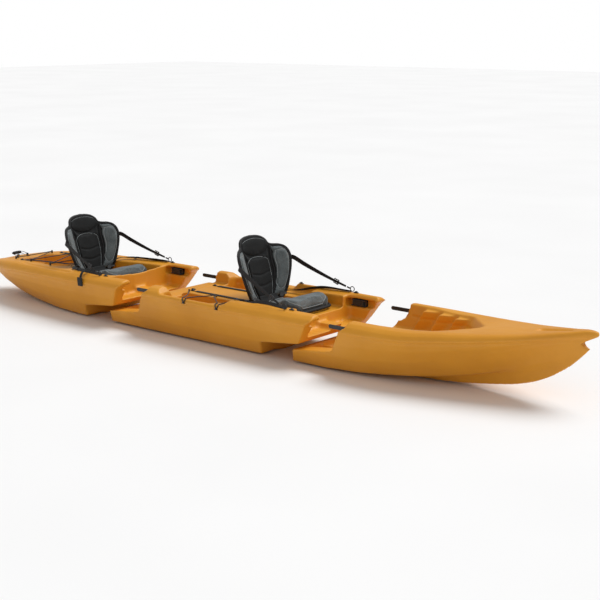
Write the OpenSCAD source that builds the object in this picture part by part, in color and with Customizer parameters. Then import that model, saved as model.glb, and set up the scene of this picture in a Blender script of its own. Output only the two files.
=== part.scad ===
// Take-apart tandem sit-on-top kayak: three rotomoulded hull sections that slide together,
// pulled tight by ladder straps and ratchet buckles, with two padded folding seats.
// +X points to the bow, +Y to port, +Z up. The origin is under the middle of the hull.

/* [Overall] */
// Gap between the sections at each joint, as the kayak is laid out
joint_gap = 220; // [60:10:260]
// Height of the gunwale crown amidships
crown_h = 310; // [295:5:320]
// Greatest half beam, at the outer edge of the gunwale
half_beam = 358; // [345:1:365]

/* [Section joints] */
// Length of the tongue that reaches under the section ahead of it
tongue_len = 440; // [420:5:445]
// Clearance between two sections when they are locked together
joint_clear = 3; // [2:0.5:5]
// Distance of the ladder straps from the centreline
strap_y = 285; // [280:1:288]
// Height of the ladder straps above the ground
strap_z = 262; // [256:1:264]
// Length of a ladder strap outside its pocket
strap_len = 140; // [100:2:144]

/* [Wells] */
// Height of the footwell floors
footwell_floor = 165; // [160:1:175]
// Half width of the footwells
footwell_w = 258; // [250:1:260]
// Height of the floor under the front seat
seat_floor = 230; // [225:1:234]

/* [Seats] */
// Lean of the seat backs behind upright
recline = 18; // [12:1:22]
// Thickness of the seat backs
back_t = 36; // [28:1:40]
// Half width of the seat backs across the wings
back_w = 224; // [205:1:228]
// Height of the seat backs along their slope
back_h = 390; // [384:1:400]

/* [Fittings] */
// Width of the seat webbing
webbing_w = 25; // [20:1:30]
// Diameter of the elastic cord
bungee_d = 6; // [5:0.5:7]
// Pin diameter of the ratchet levers and the carry handle
pin_d = 4; // [3:0.5:4]

/* [Hidden] */

hull_yellow = [0.93, 0.62, 0.16];
black = [0.09, 0.10, 0.11];
webbing_black = [0.12, 0.12, 0.13];
cushion_grey = [0.36, 0.39, 0.41];
steel = [0.75, 0.76, 0.78];

// Stations of the locked-up hull, measured in the middle section's frame.
stern_tip = -2075;
nose_tip = 2075;
aft_joint = -450;
fore_joint = 807;
// Height of the keel strip that the kayak stands on is zero; its half width:
keel_strip = 40;
// Height of the deck between the leg channels of the middle section:
centre_deck = 258;
// How far the tip of a tongue leans back from its top to its bottom:
tip_rake = 45;

// Hull lines as [station, offset] pairs, faired by cubic curves between them.
beam_line = [[-2075, 8], [-2050, 44], [-1980, 122], [-1780, 252], [-1530, 307], [-1180, 343],
             [-780, half_beam - 2], [-450, half_beam], [450, half_beam], [807, 350], [1080, 338],
             [1380, 264], [1680, 168], [1930, 68], [2040, 24], [2075, 9]];
edge_line = [[-2075, 188], [-1980, 198], [-1780, 218], [-1530, 238], [-1180, 251], [-450, 258],
             [807, 260], [1080, 264], [1380, 287], [1680, 322], [1930, 360], [2075, 380]];
inset_line = [[-2075, 4], [-1980, 30], [-1780, 45], [-1530, 50], [-1180, 58], [-780, 66],
              [0, 70], [807, 70], [1080, 64], [1380, 52], [1680, 36], [1930, 18], [2075, 3]];
crown_line = [[-2075, 206], [-1980, 230], [-1780, 262], [-1530, 286], [-1180, 297],
              [-450, crown_h - 2], [807, crown_h + 2], [1080, 312], [1380, 326], [1680, 350],
              [1930, 384], [2045, 400], [2075, 396]];
dip_line = [[-2075, 0], [-1900, 8], [-1400, 20], [-450, 26], [800, 26], [1300, 14], [1600, -4],
            [1900, -2], [2075, 0]];
chine_line = [[-2075, 3], [-2030, 14], [-1930, 46], [-1780, 88], [-1580, 132], [-1380, 174],
              [-1180, 212], [-900, 238], [-450, 240], [550, 236], [780, 226], [930, 210],
              [1140, 170], [1240, 142], [1380, 105], [1530, 66], [1680, 40], [1880, 18], [2075, 5]];
chine_h_line = [[-2075, 186], [-2030, 134], [-1930, 78], [-1780, 46], [-1580, 26], [-1380, 16],
                [-1180, 12], [550, 12], [780, 18], [930, 28], [1140, 46], [1240, 57], [1380, 80],
                [1530, 115], [1680, 165], [1880, 232], [2075, 322]];
keel_line = [[-2075, 182], [-2030, 122], [-1930, 62], [-1780, 24], [-1580, 6], [-1400, 0],
             [1000, 0], [1130, 6], [1330, 18], [1440, 30], [1550, 45], [1630, 59], [1716, 82],
             [1800, 117], [1871, 157], [1941, 208], [2000, 264], [2034, 305], [2075, 318]];
// How far the bottom arches up between keel and chine.
arch_line = [[-2075, 0], [-1500, 3], [-900, 6], [700, 7], [1150, 20], [1500, 26], [1750, 10],
             [2075, 0]];
// Height of the side crease, as a share of the height from chine to outer edge.
crease_line = [[-2075, 0.4], [800, 0.33], [1200, 0.42], [1500, 0.55], [1900, 0.72], [2075, 0.8]];

function span(t, x, i = 0) = (i >= len(t) - 2 || x < t[i + 1][0]) ? i : span(t, x, i + 1);
function secant(t, i) = (t[i + 1][1] - t[i][1]) / (t[i + 1][0] - t[i][0]);
// Slope at a control point: zero at a turning point, else the harmonic mean of its neighbours.
function slope(t, i) = i == 0 ? secant(t, 0) : i == len(t) - 1 ? secant(t, i - 1)
    : let (a = secant(t, i - 1), b = secant(t, i)) a * b <= 0 ? 0 : 2 * a * b / (a + b);
function fair(t, x) = let (
    i = span(t, x), h = t[i + 1][0] - t[i][0], s = min(1, max(0, (x - t[i][0]) / h)))
    (2 * s^3 - 3 * s^2 + 1) * t[i][1] + (s^3 - 2 * s^2 + s) * h * slope(t, i)
    + (3 * s^2 - 2 * s^3) * t[i + 1][1] + (s^3 - s^2) * h * slope(t, i + 1);

// Half of a hull section at station u, from the keel up and over to the middle of the deck.
function half_section(u) = let (
    beam = fair(beam_line, u), edge = fair(edge_line, u), inset = fair(inset_line, u),
    crown = fair(crown_line, u), chine = min(beam - 4, fair(chine_line, u)),
    chine_h = fair(chine_h_line, u), keel = fair(keel_line, u), arch = fair(arch_line, u),
    strip = min(keel_strip, 0.3 * chine), rise = edge - chine_h, share = fair(crease_line, u),
    flare = beam - chine, shoulder = crown - edge, deck = crown - fair(dip_line, u))
    [[0, keel], [strip, keel],
     [0.55 * chine, keel + 0.55 * (chine_h - keel) + arch], [chine, chine_h],
     [chine + flare * (0.25 + 0.6 * share), chine_h + rise * share],
     [chine + flare * (0.66 + 0.33 * share), chine_h + rise * (0.5 + 0.5 * share)],
     [beam, edge], [beam - inset * 0.16, edge + shoulder * 0.5],
     [beam - inset * 0.5, edge + shoulder * 0.86], [beam - inset, crown],
     [(beam - inset) * 0.86, crown - 0.25 * (crown - deck)], [0, deck]];
function ring(u) = let (half = half_section(u), n = len(half)) concat(
    [for (p = half) [u, p[0], p[1]]],
    [for (i = [n - 2 : -1 : 1]) [u, -half[i][0], half[i][1]]]);

// Height of the outer skin at station u, at a distance y from the centreline.
function deck_z(u, y) = let (h = half_section(u))
    lookup(abs(y), [for (i = [11 : -1 : 6]) h[i]]);

// A solid hull between two stations; steps are finer near a pointed end.
module hull_body(from, to, count, bias = 1) {
    rings = [for (i = [0 : count]) ring(from + (to - from) * (bias * (i / count)
             + (1 - bias) * (0.5 - 0.5 * cos(180 * i / count))))];
    n = len(rings[0]);
    points = [for (r = rings) each r];
    sides = [for (i = [0 : count - 1], j = [0 : n - 1])
             let (a = i * n + j, b = i * n + (j + 1) % n)
             each (j < n / 2 ? [[a, b + n, b], [a, a + n, b + n]] : [[a, a + n, b], [b, a + n, b + n]])];
    polyhedron(points, concat([[for (j = [0 : n - 1]) j],
        [for (j = [n - 1 : -1 : 0]) count * n + j]], sides), convexity = 10);
}

// Side profile cut off the front of a section whose joint crown is at station j.
module front_cut(j) {
    step = -tongue_len - 8;
    translate([j, 500, 0]) rotate([90, 0, 0]) linear_extrude(1000) polygon([
        [0, 450], [0, crown_h - 26], [-36, 260], [-76, 195], [-112, 142], [-124, 131],
        [step + tip_rake, 97], [step - 10, -20], [200, -20], [200, 450]]);
    // rounded corner where the gunwale crown ends
    translate([j, 500, crown_h - 22]) rotate([90, 0, 0]) linear_extrude(1000) difference() {
        translate([-22, 0]) square([60, 60]);
        translate([-22, 0]) circle(r = 22, $fn = 40);
    }
}
// Side profile cut off the back of a section, leaving its tongue.
module back_cut(j) {
    c = joint_clear;
    translate([j, 500, 0]) rotate([90, 0, 0]) linear_extrude(1000) polygon([
        [c, 450], [c, crown_h - 26], [c - 36, 260], [c - 76, 195], [c - 112, 141 - c],
        [c - 131, 130 - c], [-tongue_len + tip_rake, 96 - c], [-tongue_len - 10, -20],
        [-tongue_len - 60, -20], [-tongue_len - 60, 450]]);
}

// A well with rounded corners, a chamfered floor and leaning walls.
module well(x0, x1, y0, y1, floor_z, top_z, r = 28, lean = 8) {
    hull() for (level = [[floor_z, 14], [floor_z + 14, 2], [top_z, -lean]]) {
        inset = level[1] + r;
        for (x = [x0 + inset, x1 - inset], y = [y0 + inset, y1 - inset])
            translate([x, y, level[0]]) cylinder(r = r, h = 1, $fn = 20);
    }
}
module both_sides() {
    children();
    mirror([0, 1, 0]) children();
}
// Space for a ladder strap and its ratchet in the front wall of a section.
module strap_slot(j) {
    both_sides() {
        translate([j - 110, strap_y - 5, strap_z - 14]) cube([200, 10, 28]);
        translate([j - 212, footwell_w - 30, strap_z - 22])
            cube([186, strap_y + 36 - footwell_w, 46]);
    }
}
// Pocket behind the back face of a section, where a ladder strap is screwed down.
module strap_pocket(j) {
    both_sides() {
        translate([j - 60, strap_y - 14, strap_z - 17]) cube([60 + 32, 28, 34]);
        // flared mouth of the pocket
        translate([j, 305, 0]) rotate([90, 0, 0]) linear_extrude(60)
            polygon([[-90, 286], [-6, 286], [-6, 236], [-90, 170]]);
    }
}
// Hollow tray in a tongue, with a rib and a locating boss left standing in it.
module tray(j) {
    difference() {
        well(j - tongue_len + 78, j - 150, -196, 196, 52, 136, 24, 4);
        both_sides() hull() {
            translate([j - 350, 70, 40]) cylinder(d = 14, h = 42, $fn = 20);
            translate([j - 190, 92, 40]) cylinder(d = 14, h = 54, $fn = 20);
        }
        both_sides() translate([j - 250, 140, 40]) cylinder(d = 46, h = 40, $fn = 32);
    }
}
// Leg channels on either side of a low centre ridge, open at the joint end.
module footwell(x0, x1, w, floor_z) {
    well(x0, x1, -w, w, floor_z + 30, 400);
    well(x0 + 8, x1, -w - 16, w + 16, 290, 400);
    both_sides() well(x0, x1, 34, w - 2, floor_z, 400);
}
// Hole for a drain plug, with a flat seat for its flange.
module drain_hole(p) {
    translate([p[0], p[1], p[2] - 40]) cylinder(d = drain_d, h = 60, $fn = 40);
    translate(p) cylinder(d = 48, h = 60, $fn = 40);
}

// Drain plugs: in the tank well, on the shelf of the middle section and in the bow footwell.
stern_drain = [-1460, -96, 194];
mid_drain = [-395, 0, 234];
bow_drain = [820, -140, 172];
drain_d = 26;

module mid_hull() {
    color(hull_yellow) difference() {
        difference() {
            hull_body(aft_joint - tongue_len - 25, fore_joint + 15, 31);
            back_cut(aft_joint);
            front_cut(fore_joint);
        }
        tray(aft_joint);
        well(-560, 162, -footwell_w, footwell_w, centre_deck, 400);
        well(-560, -330, -footwell_w, footwell_w, 234, 400);
        both_sides() leg_channel();
        for (x = cord_hook_x) translate([x - 17, -382, 250]) cube([34, 40, 60]);
        seat_well(0, seat_floor);
        footwell(606, 1000, footwell_w, footwell_floor);
        strap_slot(fore_joint);
        strap_pocket(aft_joint);
        drain_hole(mid_drain);
    }
}
// Leg channel beside the centre deck, its rim cut down below the crown of the gunwale, and a
// shallow ledge beside the seat.
rim_h = 276;
module leg_channel() {
    well(-332, 66, 146, 328, footwell_floor, 400);
    well(40, 366, 150, 284, 256, 400);
    hull() for (level = [[rim_h, 24, 0], [330, -34, 60]])
        for (x = [-346 + level[1], 172 - level[1]], y = [200, 342 + level[2]])
            translate([x, y, level[0]]) cylinder(r = 12, h = 1, $fn = 20);
}
// Seat well that widens forward, with a short ramp down to the footwell.
module seat_well(dx, floor_z) {
    translate([dx, 0, 0]) {
        hull() {
            well(150, 300, -168, 168, floor_z, 400, 30);
            well(480, 612, -214, 214, floor_z, 400, 40);
        }
    }
}
module stern_hull() {
    shift = -joint_gap;
    color(hull_yellow) translate([shift, 0, 0]) difference() {
        difference() {
            hull_body(stern_tip, aft_joint + 15, 38, 0.45);
            front_cut(aft_joint);
        }
        hull() {
            well(-1730, -1640, -112, 112, 196, 400, 26);
            well(-1340, -1215, -196, 196, 190, 400, 34);
        }
        seat_well(seat_pitch - shift, seat_floor - seat_drop);
        footwell(-654, -200, footwell_w, footwell_floor);
        strap_slot(aft_joint);
        drain_hole(stern_drain);
        // level seats for the mounts of the carry handle
        both_sides() translate(carry_pivot + [joint_gap - 14, arm_y + 2, -17]) cube([28, 24, 60]);
    }
}
// Bow footwell: it narrows to a point, with saw-tooth footrests along both walls.
module bow_footwell(floor_z) {
    rim = [[560, 262], [1000, 262], [1290, 205], [1440, 40]];
    base = [[560, 244], [980, 236], [1180, 172], [1260, 60]];
    difference() {
        hull() for (s = [-1, 1], i = [0 : 3]) {
            translate([base[i][0] - 24, s * (base[i][1] - 32), floor_z])
                cylinder(r = 24, h = 1, $fn = 20);
            translate([rim[i][0] - 24, s * (rim[i][1] - 24), 330]) cylinder(r = 24, h = 90, $fn = 20);
        }
        translate([500, 0, floor_z]) rotate([90, 0, 90]) linear_extrude(800)
            polygon([[-46, -20], [-46, 0], [-28, 30], [28, 30], [46, 0], [46, -20]]);
        both_sides() for (i = [0 : 2]) foot_tooth(926 + 117 * i, 117, 212 - 22 * i, 250 - 20 * i);
    }
}
// One footrest: its push face leans forward and its back slopes out to the next one.
module foot_tooth(x, pitch, y_in, y_out) {
    hull() for (level = [[100, -110], [292, 0]]) translate([x + level[1], 0, level[0]])
        linear_extrude(1) polygon([[0, 330], [0, y_in], [pitch, y_out], [pitch, 330]]);
}
module bow_hull() {
    shift = joint_gap;
    color(hull_yellow) translate([shift, 0, 0]) difference() {
        difference() {
            hull_body(fore_joint - tongue_len - 25, nose_tip, 46, 0.55);
            back_cut(fore_joint);
        }
        tray(fore_joint);
        bow_footwell(footwell_floor + 7);
        strap_pocket(fore_joint);
        // notch between the upper and lower lips of the nose
        translate([0, 100, 0]) rotate([90, 0, 0]) linear_extrude(200)
            polygon([[1985, 329], [2120, 396], [2120, 300], [2034, 306]]);
        // finger recess behind the nose
        hull() {
            well(1740, 1790, -34, 34, 352, 440, 10, 4);
            well(1900, 1950, -20, 20, 376, 440, 6, 4);
        }
        drain_hole(bow_drain);
    }
}

// Ladder strap: a toothed band that leaves the back face of a section and points aft.
module ladder_strap(root_x) {
    tooth = 6;
    // band with a rounded tip
    translate([root_x - strap_len, strap_y + 1.5, strap_z]) rotate([90, 0, 0]) linear_extrude(3)
        union() {
            circle(d = 22, $fn = 40);
            translate([0, -11]) square([strap_len + 22, 22]);
        }
    for (i = [0 : 14]) translate([root_x - strap_len + 8 + i * tooth, strap_y, strap_z])
        rotate([90, 0, 0]) translate([0, 0, 1.5]) linear_extrude(1.6)
            translate([0, -8]) square([3, 16]);
}
module ladder_straps(j) {
    root_x = j + 8;
    color(black) both_sides() difference() {
        ladder_strap(root_x);
        translate([root_x + 11, strap_y, strap_z]) rotate([90, 0, 0])
            cylinder(d = 6.4, h = 20, center = true, $fn = 32);
    }
}
module strap_screws(j) {
    color(steel) both_sides() translate([j + 19, strap_y, strap_z]) rotate([90, 0, 0]) {
        translate([0, 0, -12]) cylinder(d = 6, h = 16, $fn = 32);
        translate([0, 0, 1.5]) cylinder(d = 11, h = 3.5, $fn = 32);
    }
}

// Ratchet buckle in the inner wall: a channel for the strap, with a hinged lever.
ratchet_x = -186;
ratchet_len = 96;
lever_y = 262;
pivot_dx = 14;
module ratchet_bases(j) {
    color(black) both_sides() difference() {
        translate([j + ratchet_x, lever_y - 6, strap_z - 18]) union() {
            translate([0, 12, 0]) cube([ratchet_len, 8, 36]);
            translate([0, 32, 0]) cube([ratchet_len, 3, 36]);
            for (z = [0, 33]) translate([0, 0, z]) cube([ratchet_len, 35, 3]);
        }
        translate([j + ratchet_x + pivot_dx, lever_y, 0]) cylinder(d = pin_d, h = 400, $fn = 32);
    }
}
module ratchet_pins(j) {
    color(steel) both_sides() translate([j + ratchet_x + pivot_dx, lever_y, strap_z - 18])
        cylinder(d = pin_d, h = 36, $fn = 32);
}
module lever(j, side) {
    color(black) mirror([0, side, 0]) translate([j + ratchet_x + pivot_dx, lever_y, strap_z])
        difference() {
            union() {
                translate([0, 0, -14]) cylinder(d = 10, h = 28, $fn = 40);
                translate([0, -5, -14]) cube([66, 7, 28]);
                translate([66, -1.5, -14]) cylinder(d = 7, h = 28, $fn = 32);
                for (x = [14, 26, 38, 50]) translate([x, -6.2, -11]) cube([4, 1.2, 22]);
            }
            translate([0, 0, -20]) cylinder(d = pin_d + 0.1, h = 40, $fn = 32);
        }
}

// Seats. The front seat's hinge line is given; the rear seat is one pitch behind it, its base
// and the gunwale beside it a little lower.
hinge = [236, 0, 266];
seat_pitch = -1500;
back_bend_r = 500;
seat_drop = 20;
rail_drop = 6;
module at_rear_seat() { translate([seat_pitch, 0, -seat_drop]) children(); }
module at_rear_rail() { translate([seat_pitch, 0, -rail_drop]) children(); }

module seat_pad() {
    color(cushion_grey) hull() {
        for (s = [-1, 1]) {
            translate([292, s * 70, seat_floor + 1]) cylinder(r = 40, h = 32, $fn = 32);
            translate([446, s * 135, seat_floor + 1]) cylinder(r = 52, h = 78, $fn = 32);
            translate([508, s * 116, seat_floor + 1]) cylinder(r = 56, h = 94, $fn = 32);
        }
    }
}
half_back = [[132, 4], [150, 24], [165, 50], [178, 80], [196, 130], [208, 168], [back_w - 7, 212],
             [back_w - 6, 240], [211, 268], [196, 292], [172, 306], [140, 315], [118, 327], [108, 350],
             [88, 370], [56, 382]];
module back_outline() {
    polygon(concat(half_back, [[0, back_h]], [for (i = [len(half_back) - 1 : -1 : 0])
        [-half_back[i][0], half_back[i][1]]]));
}
module seat_back() {
    color(black) translate(hinge) rotate([0, -recline, 0]) intersection() {
        translate([back_bend_r, 0, 0]) difference() {
            cylinder(r = back_bend_r + back_t, h = 500, $fn = 120);
            translate([0, 0, -1]) cylinder(r = back_bend_r, h = 502, $fn = 120);
        }
        translate([-60, 0, 0]) rotate([90, 0, 90]) linear_extrude(200) back_outline();
    }
}
// A flat strip of webbing between two points, standing on edge.
module strip(a, b, w_a, w_b, t = 3) {
    hull() {
        translate(a) cube([4, t, w_a], center = true);
        translate(b) cube([4, t, w_b], center = true);
    }
}
strap_top = [200, 238, 478];
strap_end = [548, 300, 338];
module seat_straps(shift_top = [0, 0, 0], shift_end = [0, 0, 0]) {
    color(webbing_black) both_sides()
        strip(strap_top + shift_top, strap_end + shift_end, webbing_w, 8);
}
eye_x = 612;
eye_y = 304;
// Wire snap hook between the strap's end and its eye on the gunwale.
module strap_hooks() {
    color(black) both_sides() {
        hull() {
            translate([556, eye_y, 334]) sphere(d = 9, $fn = 16);
            translate([574, eye_y, 329]) sphere(d = 9, $fn = 16);
        }
        translate([592, eye_y, 327]) rotate([90, 0, 0]) rotate_extrude($fn = 48)
            translate([14, 0]) circle(d = 5, $fn = 24);
    }
}
// Small moulded eye with two feet, screwed to the deck at a given height.
module pad_eye(p, turn = 0) {
    translate(p) rotate([0, 0, turn]) difference() {
        union() {
            translate([-16, -5, 0]) cube([32, 10, 3]);
            intersection() {
                rotate([90, 0, 0]) cylinder(d = 20, h = 8, center = true, $fn = 40);
                translate([-12, -6, 1.5]) cube([24, 12, 12]);
            }
        }
        translate([0, 0, 5.4]) rotate([90, 0, 0]) cylinder(d = 4.4, h = 20, center = true, $fn = 32);
    }
}
module mid_gunwale_eyes() {
    color(black) both_sides() {
        for (x = [eye_x + 20, 222]) pad_eye([x, 288, deck_z(x, 288) + 1.2]);
    }
}
module stern_gunwale_eyes() {
    x = seat_pitch + eye_x + 20;
    color(black) both_sides() pad_eye([x, 288, deck_z(x + joint_gap, 288) + 1]);
}

// Webbing that lies flat along a list of points.
module flat_webbing(points, w = webbing_w, t = 2.4) {
    for (i = [0 : len(points) - 2]) hull() {
        translate(points[i]) cube([1, w, t], center = true);
        translate(points[i + 1]) cube([1, w, t], center = true);
    }
}
// Tail straps run from behind each seat back to eyes farther aft.
front_tail = [[186, 100, centre_deck + 10], [142, 100, centre_deck + 4], [-278, 96, centre_deck + 3]];
rear_tail = [[1312, 100, 250], [1346, 104, 288], [1444, 126, 292], [1808, 166, 281]];
front_tail_eye = [-306, 96, centre_deck + 0.3];
rear_tail_eye = [-1838, 169, deck_z(-1822 + joint_gap, 174) + 0.4];
module seat_tails(points, dir = 1) {
    color(webbing_black) both_sides() flat_webbing([for (p = points) [dir * p[0], p[1], p[2]]]);
}
module mid_tail_eyes() { color(black) both_sides() pad_eye(front_tail_eye); }
module stern_tail_eyes() { color(black) both_sides() pad_eye(rear_tail_eye); }

// Side straps run from the seat's base over the ledge and up to the eyes on the gunwale.
front_side_route = [[196, 132, 270], [156, 206, 268], [150, 236, 269], [243, 248, 284],
                    [400, 266, 318], [596, 286, 318]];
rear_side_route = [[188, 136, 256], [194, 166, 303], [250, 236, 309], [500, 276, 312], [596, 286, 313]];
module side_straps(route, shift = 0) {
    color(webbing_black) translate([shift, 0, 0]) both_sides() flat_webbing(route, 20);
}
module strap_sliders(p, tilt, turn) {
    color(black) both_sides() translate(p) rotate([0, -tilt, turn]) difference() {
        cube([16, 32, 9], center = true);
        cube([20, 25, 4.6], center = true);
    }
}

// Elastic cord swept along its route; the rings keep one side of the tube level.
function unit(v) = v / norm(v);
module cord(route, d = bungee_d, sides = 8) {
    n = len(route);
    points = [for (i = [0 : n - 1]) let (
        along = unit(route[min(n - 1, i + 1)] - route[max(0, i - 1)]),
        across = unit(cross(along, [0, 0, 1])), up = cross(across, along))
        for (k = [0 : sides - 1]) route[i]
            + d / 2 * (cos(360 * k / sides) * across + sin(360 * k / sides) * up)];
    walls = [for (i = [0 : n - 2], k = [0 : sides - 1])
             let (a = i * sides + k, b = i * sides + (k + 1) % sides)
             each [[a, b, b + sides], [a, b + sides, a + sides]]];
    polyhedron(points, concat([[for (k = [sides - 1 : -1 : 0]) k],
        [for (k = [0 : sides - 1]) (n - 1) * sides + k]], walls), convexity = 6);
}
// Zigzag cord over the starboard leg channel: inner eyes on the deck, hooks on the gunwale edge.
cord_hook_x = [-134, 126];
function over_rim(x, s) = [x - 16 * s, -326, rim_h + 6];
function rim_edge(x, s) = [x - 13 * s, -345, rim_h + 4];
function into_hook(x, s) = [x - 9 * s, -350, 268];
function round_hook(x) = [over_rim(x, 1), rim_edge(x, 1), into_hook(x, 1), [x, -350, 258],
                          into_hook(x, -1), rim_edge(x, -1), over_rim(x, -1)];
side_cord_route = concat(
    [[-306, -134, 266], [-240, -200, 271]],
    round_hook(cord_hook_x[0]),
    [[-98, -190, 272], [-94, -128, 266], [-82, -128, 266], [-50, -180, 274], [60, -281, 281]],
    round_hook(cord_hook_x[1]),
    [[140, -250, 281], [136, -200, 274], [128, -134, 266]]);
module side_bungee() { color(black) cord(side_cord_route); }
module side_bungee_hooks() {
    color(black) {
        for (x = cord_hook_x) translate([x, -349.5, 256]) difference() {
            union() {
                rotate([0, 90, 0]) cylinder(d = 14, h = 8, center = true, $fn = 32);
                translate([-12, -7, -5.7]) cube([24, 14, 2]);
            }
            translate([0, 0, 2]) rotate([0, 90, 0]) cylinder(d = 7, h = 20, center = true, $fn = 32);
            translate([0, 0, -20.7]) cube([30, 30, 30], center = true);
        }
        for (x = [-312, -88, 122]) translate([x, -122, centre_deck + 0.3])
            cylinder(d = 10, h = 14, $fn = 32);
    }
}
// Elastic cord laced across the tank well from side to side.
tank_anchors = [[-1955, -122], [-1930, 150], [-1725, -176], [-1700, 184], [-1480, -214], [-1455, 220]];
// Point where the cord passes a hook, above the deck:
function tank_point(p) = [p[0], p[1], deck_z(p[0] + joint_gap, p[1]) + 12];
module tank_bungee() {
    color(black) cord([for (i = [0 : len(tank_anchors) - 2], s = [0 : 3])
        let (k = s / 4) tank_point(tank_anchors[i]) * (1 - k) + tank_point(tank_anchors[i + 1]) * k
            + [0, 0, 1.5 - 6 * k * (1 - k)]]);
}
module tank_bungee_hooks() {
    color(black) for (p = tank_anchors) let (y = p[1] + sign(p[1]) * 9)
        translate([p[0], y, deck_z(p[0] + joint_gap + 6, y) + 1]) cylinder(d = 12, h = 18, $fn = 32);
}

// Carry handle on the stern deck: a grip on two webbing arms that pivot on one pin.
carry_pivot = [-2052, 0, 264];
grip_offset = [-62, 0, 6];
arm_y = 34;
module carry_grip() {
    color(black) translate(carry_pivot + grip_offset) rotate([90, 0, 0])
        cylinder(d = 22, h = 2 * arm_y - 6, center = true, $fn = 48);
}
module carry_webbing() {
    color(webbing_black) both_sides() translate(carry_pivot + [0, arm_y, 0]) rotate([90, 0, 0])
        linear_extrude(5, center = true) difference() {
            hull() {
                circle(d = 11, $fn = 32);
                translate([grip_offset[0], grip_offset[2]]) circle(d = 18, $fn = 32);
            }
            circle(d = pin_d + 0.1, $fn = 32);
        }
}
module carry_pin() {
    color(steel) translate(carry_pivot) rotate([90, 0, 0])
        cylinder(d = pin_d, h = 2 * arm_y + 26, center = true, $fn = 32);
}
module carry_mounts() {
    color(black) both_sides() translate(carry_pivot + [0, arm_y + 8, 0]) difference() {
        union() {
            rotate([90, 0, 0]) cylinder(d = 12, h = 8, center = true, $fn = 32);
            translate([-6, -4, -17]) cube([12, 8, 17]);
            translate([-12, -4, -17]) cube([24, 16, 4]);
        }
        rotate([90, 0, 0]) cylinder(d = pin_d, h = 20, center = true, $fn = 32);
    }
}
// Drain plug: a stem in the hole, a flange on the deck and a bar to turn it by.
module drain_plug(p) {
    color(black) translate(p) {
        translate([0, 0, -20]) cylinder(d = drain_d - 1.4, h = 20.3, $fn = 48);
        translate([0, 0, 0.3]) cylinder(d = 38, h = 3, $fn = 48);
        translate([-15, -3, 3.3]) cube([30, 6, 8]);
    }
}

mid_hull();
stern_hull();
bow_hull();
ladder_straps(aft_joint);  // mid_ladder_straps
ladder_straps(fore_joint + joint_gap);  // bow_ladder_straps
strap_screws(aft_joint);  // mid_strap_screws
strap_screws(fore_joint + joint_gap);  // bow_strap_screws
ratchet_bases(fore_joint);  // mid_ratchet_bases
ratchet_bases(aft_joint - joint_gap);  // stern_ratchet_bases
ratchet_pins(fore_joint);  // mid_ratchet_pins
ratchet_pins(aft_joint - joint_gap);  // stern_ratchet_pins
lever(fore_joint, 0);  // mid_port_lever
lever(fore_joint, 1);  // mid_starboard_lever
lever(aft_joint - joint_gap, 0);  // stern_port_lever
lever(aft_joint - joint_gap, 1);  // stern_starboard_lever
seat_pad();  // front_seat_pad
at_rear_seat() seat_pad();  // rear_seat_pad
seat_back();  // front_seat_back
at_rear_seat() seat_back();  // rear_seat_back
seat_straps();  // front_seat_straps
seat_straps([seat_pitch, 0, -seat_drop], [seat_pitch, 0, -rail_drop]);  // rear_seat_straps
strap_hooks();  // front_strap_hooks
at_rear_rail() strap_hooks();  // rear_strap_hooks
mid_gunwale_eyes();
stern_gunwale_eyes();
seat_tails(front_tail);  // front_seat_tails
seat_tails(rear_tail, -1);  // rear_seat_tails
mid_tail_eyes();
stern_tail_eyes();
side_straps(front_side_route);  // front_side_straps
side_straps(rear_side_route, seat_pitch);  // rear_side_straps
strap_sliders([270, 251.1, 289.8], 12.2, 6.5);  // front_strap_sliders
strap_sliders([330 + seat_pitch, 248.8, 310], 0.7, 9.1);  // rear_strap_sliders
side_bungee();
side_bungee_hooks();
tank_bungee();
tank_bungee_hooks();
carry_grip();
carry_webbing();
carry_pin();
carry_mounts();
translate([-joint_gap, 0, 0]) drain_plug(stern_drain);  // stern_drain_plug
drain_plug(mid_drain);  // mid_drain_plug
translate([joint_gap, 0, 0]) drain_plug(bow_drain);  // bow_drain_plug
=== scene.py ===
"""Tandem sit-on-top kayak in three sections: its looks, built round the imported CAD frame."""
import math

import bmesh
import bpy
import numpy as np
from mathutils import Matrix, Vector
from mathutils.bvhtree import BVHTree


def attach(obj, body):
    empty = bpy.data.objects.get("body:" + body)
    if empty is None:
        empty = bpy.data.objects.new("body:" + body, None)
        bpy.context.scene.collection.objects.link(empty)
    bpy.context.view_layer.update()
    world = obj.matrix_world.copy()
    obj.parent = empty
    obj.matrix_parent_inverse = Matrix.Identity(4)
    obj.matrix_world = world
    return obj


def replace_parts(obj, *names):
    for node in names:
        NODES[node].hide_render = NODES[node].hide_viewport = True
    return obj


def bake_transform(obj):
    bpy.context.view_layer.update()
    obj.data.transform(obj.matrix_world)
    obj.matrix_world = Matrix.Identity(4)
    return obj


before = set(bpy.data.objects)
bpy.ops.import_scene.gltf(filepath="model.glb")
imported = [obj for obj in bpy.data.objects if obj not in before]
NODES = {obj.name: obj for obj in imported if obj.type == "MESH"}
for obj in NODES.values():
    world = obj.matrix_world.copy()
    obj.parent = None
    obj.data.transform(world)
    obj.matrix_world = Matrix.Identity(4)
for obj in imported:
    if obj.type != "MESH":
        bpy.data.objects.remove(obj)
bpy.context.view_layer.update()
scene = bpy.context.scene

# from the front seat to the rear seat
REAR_SEAT = Vector((-1.5, 0, -0.020))
# fold axis of the front seat back and how far it leans back
HINGE = Vector((0.236, 0, 0.266))
RECLINE = math.radians(18)
# the wings bend forward from this far out, at this slope; the middle stands this far behind the axis
WING_FROM, WING_SLOPE, WING_BLEND = 0.100, 0.66, 0.030
BACK_SET = -0.032
SIDES = {"port": 1, "starboard": -1}
HULL_VOXEL, PAD_VOXEL = 0.0065, 0.005
CORD_R = 0.003


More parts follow.
